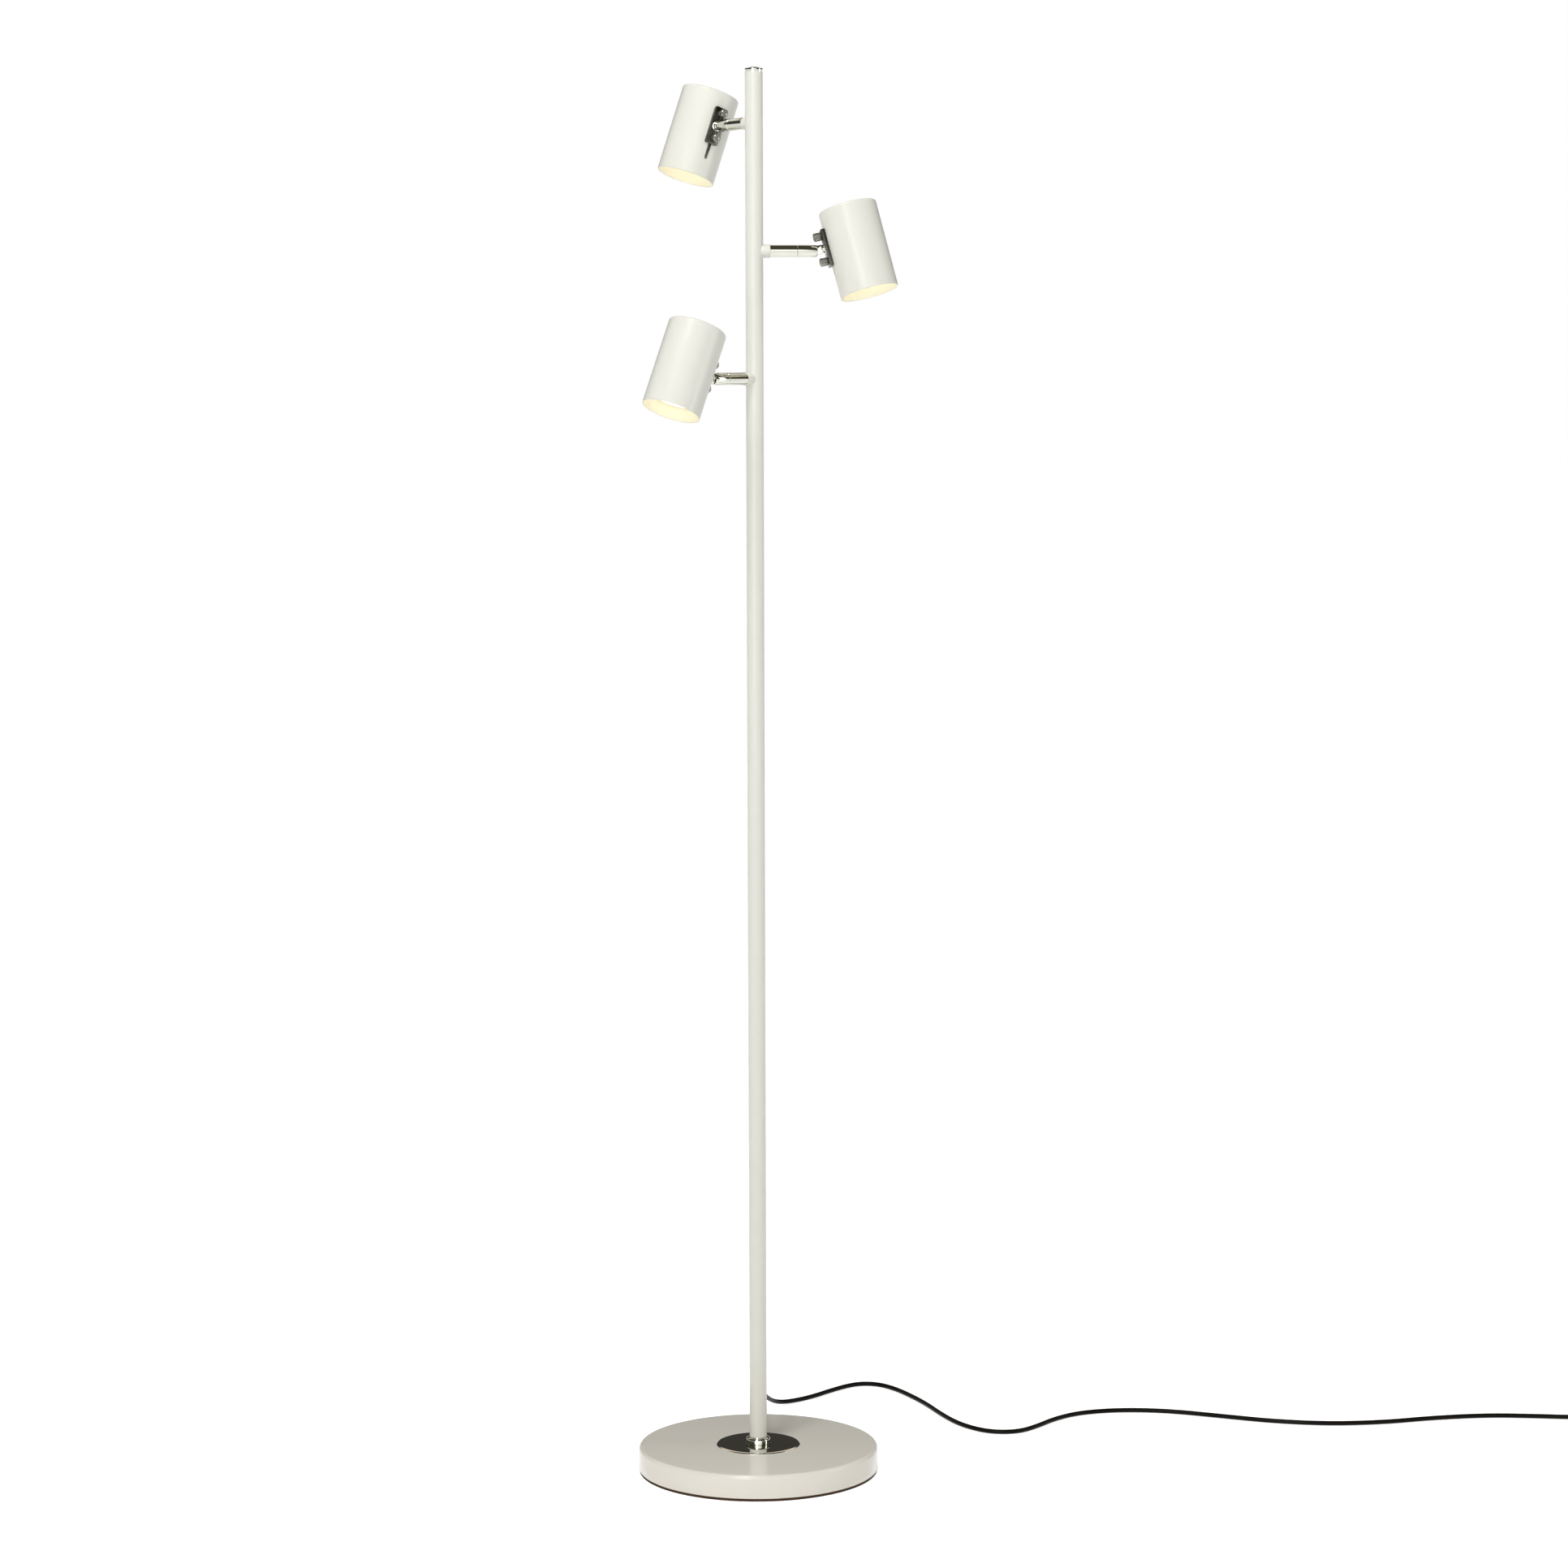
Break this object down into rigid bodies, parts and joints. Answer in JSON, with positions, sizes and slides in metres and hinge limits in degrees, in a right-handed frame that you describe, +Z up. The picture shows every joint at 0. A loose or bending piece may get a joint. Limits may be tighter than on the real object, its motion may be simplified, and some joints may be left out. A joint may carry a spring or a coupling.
{
  "type": "tree floor lamp",
  "caption": "Slim round pole on a weighted disc base, with short chrome arms at rising heights that each turn and tilt a cylindrical spot shade.",
  "frame": {"origin": "on the pole axis at floor level, at the centre of the round base", "axes": "+Z up along the pole, +X to the viewer's right in the picture, +Y to the back, away from the viewer"},
  "size_m": [1.2183, 0.4739, 1.45],
  "materials": {
    "white_paint": "warm off-white satin powder coat",
    "chrome": "polished chrome plate",
    "mirror_chrome": "mirror-bright chrome plate",
    "dark_chrome": "polished plate, knurled on the thumb screws",
    "foot_rubber": "dull dark brown",
    "weight_iron": "raw casting",
    "base_plate_steel": "plain zinc-plated sheet",
    "fastener_steel": "zinc plated",
    "brass": "turned",
    "holder_ceramic": "white glazed ceramic",
    "lamp_glass": "frosted warm-white reflector lamp",
    "lead_sheath": "heat-proof sleeving",
    "block_plastic": "plain moulded",
    "cord_sheath": "black satin sheath",
    "black_plastic": "fine satin moulding",
    "button_plastic": "smooth black",
    "pin_metal": "nickel plated"
  },
  "bodies": {
    "stand": {"arm_boss_1": "white_paint", "arm_boss_2": "white_paint", "arm_boss_3": "white_paint", "arm_inner_1": "chrome", "arm_inner_2": "chrome", "arm_inner_3": "chrome", "arm_swivel_tube_1": "brass", "arm_swivel_tube_2": "brass", "arm_swivel_tube_3": "brass", "base_cover": "white_paint", "base_plate": "base_plate_steel", "base_plate_screws": "fastener_steel", "base_weight": "weight_iron", "cord_bushing": "black_plastic", "cord_coil": "cord_sheath", "cord_run": "cord_sheath", "cord_tail": "cord_sheath", "escutcheon": "mirror_chrome", "foot_ring": "foot_rubber", "foot_switch_body": "black_plastic", "mains_plug": "black_plastic", "plug_pins": "pin_metal", "pole_collar": "chrome", "pole_foot_plug": "fastener_steel", "pole_stud": "fastener_steel", "pole_tube": "white_paint", "pole_wiring": "lead_sheath", "stud_nut": "fastener_steel", "stud_washer": "fastener_steel", "terminal_block": "block_plastic", "top_cap": "chrome"},
    "arm_end_1": {"arm_outer_1": "chrome", "tilt_pin_1": "fastener_steel"},
    "head_1": {"head_bracket_1": "dark_chrome", "thumb_screws_1": "dark_chrome", "lamp_carrier_1": "base_plate_steel", "lamp_holder_1": "holder_ceramic", "bulb_1": "lamp_glass", "head_lead_1": "lead_sheath"},
    "shade_slider_1": {"shade_1": "white_paint"},
    "arm_end_2": {"arm_outer_2": "chrome", "tilt_pin_2": "fastener_steel"},
    "head_2": {"head_bracket_2": "dark_chrome", "thumb_screws_2": "dark_chrome", "lamp_carrier_2": "base_plate_steel", "lamp_holder_2": "holder_ceramic", "bulb_2": "lamp_glass", "head_lead_2": "lead_sheath"},
    "shade_slider_2": {"shade_2": "white_paint"},
    "arm_end_3": {"arm_outer_3": "chrome", "tilt_pin_3": "fastener_steel"},
    "head_3": {"head_bracket_3": "dark_chrome", "thumb_screws_3": "dark_chrome", "lamp_carrier_3": "base_plate_steel", "lamp_holder_3": "holder_ceramic", "bulb_3": "lamp_glass", "head_lead_3": "lead_sheath"},
    "shade_slider_3": {"shade_3": "white_paint"},
    "switch_key": {"foot_switch_button": "button_plastic"}
  },
  "joints": [
    {"name": "arm_swivel_1", "type": "hinge", "parent": "stand", "child": "arm_end_1", "pos_m": [0, 0, 1.394], "axis": [-0.5225, 0.8526, 0], "range_deg": [-189.6, 150.4]},
    {"name": "head_tilt_1", "type": "hinge", "parent": "arm_end_1", "child": "head_1", "pos_m": [-0.03187, 0.05201, 1.394], "axis": [-0.8032, -0.4922, 0.3355], "range_deg": [-44, 46]},
    {"name": "shade_slide_1", "type": "slide", "parent": "head_1", "child": "shade_slider_1", "axis": [0.2951, 0.1604, 0.9419], "range_m": [0, 0.02]},
    {"name": "arm_swivel_2", "type": "hinge", "parent": "stand", "child": "arm_end_2", "pos_m": [0, 0, 1.265], "axis": [0.9945, 0.1045, 0], "range_deg": [-158.5, 181.5]},
    {"name": "head_tilt_2", "type": "hinge", "parent": "arm_end_2", "child": "head_2", "pos_m": [0.06067, 0.00638, 1.265], "axis": [-0.1024, 0.9746, -0.1994], "range_deg": [-31.7, 58.3]},
    {"name": "shade_slide_2", "type": "slide", "parent": "head_2", "child": "shade_slider_2", "axis": [-0.2491, 0.1689, 0.9536], "range_m": [0, 0.02]},
    {"name": "arm_swivel_3", "type": "hinge", "parent": "stand", "child": "arm_end_3", "pos_m": [0, 0, 1.136], "axis": [-0.6691, -0.7431, 0], "range_deg": [-168, 172]},
    {"name": "head_tilt_3", "type": "hinge", "parent": "arm_end_3", "child": "head_3", "pos_m": [-0.04082, -0.04533, 1.136], "axis": [0.7427, -0.6687, -0.0349], "range_deg": [-20.8, 69.2]},
    {"name": "shade_slide_3", "type": "slide", "parent": "head_3", "child": "shade_slider_3", "axis": [0.2979, 0.2833, 0.9116], "range_m": [0, 0.02]},
    {"name": "switch_press", "type": "slide", "parent": "stand", "child": "switch_key", "axis": [0, 0, -1], "range_m": [0, 0.0025], "stiffness_N_per_m": 800}
  ]
}
